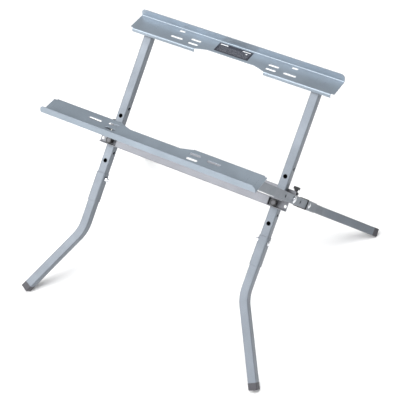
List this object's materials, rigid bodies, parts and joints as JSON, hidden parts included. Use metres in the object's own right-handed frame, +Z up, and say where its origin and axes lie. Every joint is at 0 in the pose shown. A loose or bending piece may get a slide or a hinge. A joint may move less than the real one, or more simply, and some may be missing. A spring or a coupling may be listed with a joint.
{
  "type": "folding saw stand",
  "caption": "Folding X-frame saw stand with slotted steel trays on crossed square-tube legs, splayed lower legs and screw locks.",
  "frame": {"origin": "On the floor, midway between the four feet, below the middle of the pivot", "axes": "+X along the trays to the right, +Y from the front tray to the rear tray, +Z up"},
  "size_m": [0.8498, 0.7406, 0.653],
  "materials": {
    "tray_paint": "blue-grey powder coat, satin, fine speckle",
    "leg_paint": "blue-grey powder coat, satin",
    "member_paint": "light grey powder coat, satin",
    "zinc": "bright zinc plate",
    "black_steel": "black oxide or black zinc steel, satin",
    "knob_cap_plastic": "mid grey moulded plastic, satin",
    "foot_plastic": "charcoal moulded plastic, matt",
    "knob_plastic": "black moulded plastic, satin",
    "bush_plastic": "off-white nylon",
    "label": null
  },
  "bodies": {
    "rear_frame": {"rear_tray": "tray_paint", "label_plate": "label", "inner_upper_leg_left": "leg_paint", "inner_upper_leg_right": "leg_paint", "inner_lower_leg_left": "leg_paint", "inner_lower_leg_right": "leg_paint", "inner_foot_cap_left": "foot_plastic", "inner_foot_cap_right": "foot_plastic", "inner_sleeve_left": "leg_paint", "inner_sleeve_right": "leg_paint", "inner_sleeve_bolts": "zinc", "inner_sleeve_nuts": "zinc", "pivot_bolts": "zinc", "pivot_head_washers": "zinc", "pivot_spacers": "bush_plastic", "pivot_nuts": "zinc", "rear_cross_tube": "member_paint", "rear_bracket_left": "member_paint", "rear_bracket_right": "member_paint", "rear_weld_nuts": "black_steel"},
    "front_frame": {"front_tray": "tray_paint", "outer_upper_leg_left": "leg_paint", "outer_upper_leg_right": "leg_paint", "outer_lower_leg_left": "leg_paint", "outer_lower_leg_right": "leg_paint", "outer_foot_cap_left": "foot_plastic", "outer_foot_cap_right": "foot_plastic", "outer_sleeve_left": "leg_paint", "outer_sleeve_right": "leg_paint", "outer_sleeve_bolts": "zinc", "outer_sleeve_nuts": "zinc", "pivot_bushes": "bush_plastic", "front_cross_tube": "member_paint", "front_bracket_left": "member_paint", "front_bracket_right": "member_paint", "front_weld_nuts": "black_steel", "outer_mouth_guard_left": "knob_plastic", "outer_mouth_guard_right": "knob_plastic"},
    "front_left_screw": {"lock_screw_front_left": "black_steel"},
    "front_left_knob": {"lock_knob_front_left": "knob_plastic", "lock_knob_cap_front_left": "knob_cap_plastic"},
    "front_right_screw": {"lock_screw_front_right": "black_steel"},
    "front_right_knob": {"lock_knob_front_right": "knob_plastic", "lock_knob_cap_front_right": "knob_cap_plastic"},
    "rear_left_screw": {"lock_screw_rear_left": "black_steel"},
    "rear_left_knob": {"lock_knob_rear_left": "knob_plastic", "lock_knob_cap_rear_left": "knob_cap_plastic"},
    "rear_right_screw": {"lock_screw_rear_right": "black_steel"},
    "rear_right_knob": {"lock_knob_rear_right": "knob_plastic", "lock_knob_cap_rear_right": "knob_cap_plastic"}
  },
  "joints": [
    {"name": "fold", "type": "hinge", "parent": "rear_frame", "child": "front_frame", "pos_m": [0, 0, 0.3932], "axis": [-1, 0, 0], "range_deg": [0, 75]},
    {"name": "front_left_screw_travel", "type": "slide", "parent": "front_frame", "child": "front_left_screw", "axis": [0, 0.7314, -0.682], "range_m": [0, 0.00505]},
    {"name": "front_left_knob_turn", "type": "hinge", "parent": "front_left_screw", "child": "front_left_knob", "pos_m": [-0.2668, -0.0392, 0.39516], "axis": [0, 0.7314, -0.682], "range_deg": [0, 1440]},
    {"name": "front_right_screw_travel", "type": "slide", "parent": "front_frame", "child": "front_right_screw", "axis": [0, 0.7314, -0.682], "range_m": [0, 0.00505]},
    {"name": "front_right_knob_turn", "type": "hinge", "parent": "front_right_screw", "child": "front_right_knob", "pos_m": [0.2668, -0.0392, 0.39516], "axis": [0, 0.7314, -0.682], "range_deg": [0, 1440]},
    {"name": "rear_left_screw_travel", "type": "slide", "parent": "rear_frame", "child": "rear_left_screw", "axis": [0, -0.7314, -0.682], "range_m": [0, 0.00505]},
    {"name": "rear_left_knob_turn", "type": "hinge", "parent": "rear_left_screw", "child": "rear_left_knob", "pos_m": [-0.2962, 0.0392, 0.39516], "axis": [0, -0.7314, -0.682], "range_deg": [0, 1440]},
    {"name": "rear_right_screw_travel", "type": "slide", "parent": "rear_frame", "child": "rear_right_screw", "axis": [0, -0.7314, -0.682], "range_m": [0, 0.00505]},
    {"name": "rear_right_knob_turn", "type": "hinge", "parent": "rear_right_screw", "child": "rear_right_knob", "pos_m": [0.2962, 0.0392, 0.39516], "axis": [0, -0.7314, -0.682], "range_deg": [0, 1440]}
  ],
  "couplings": [
    {"joint": "front_left_screw_travel", "follows": "front_left_knob_turn", "m_per_rad": 0.00019894},
    {"joint": "front_right_screw_travel", "follows": "front_right_knob_turn", "m_per_rad": 0.00019894},
    {"joint": "rear_left_screw_travel", "follows": "rear_left_knob_turn", "m_per_rad": 0.00019894},
    {"joint": "rear_right_screw_travel", "follows": "rear_right_knob_turn", "m_per_rad": 0.00019894}
  ]
}
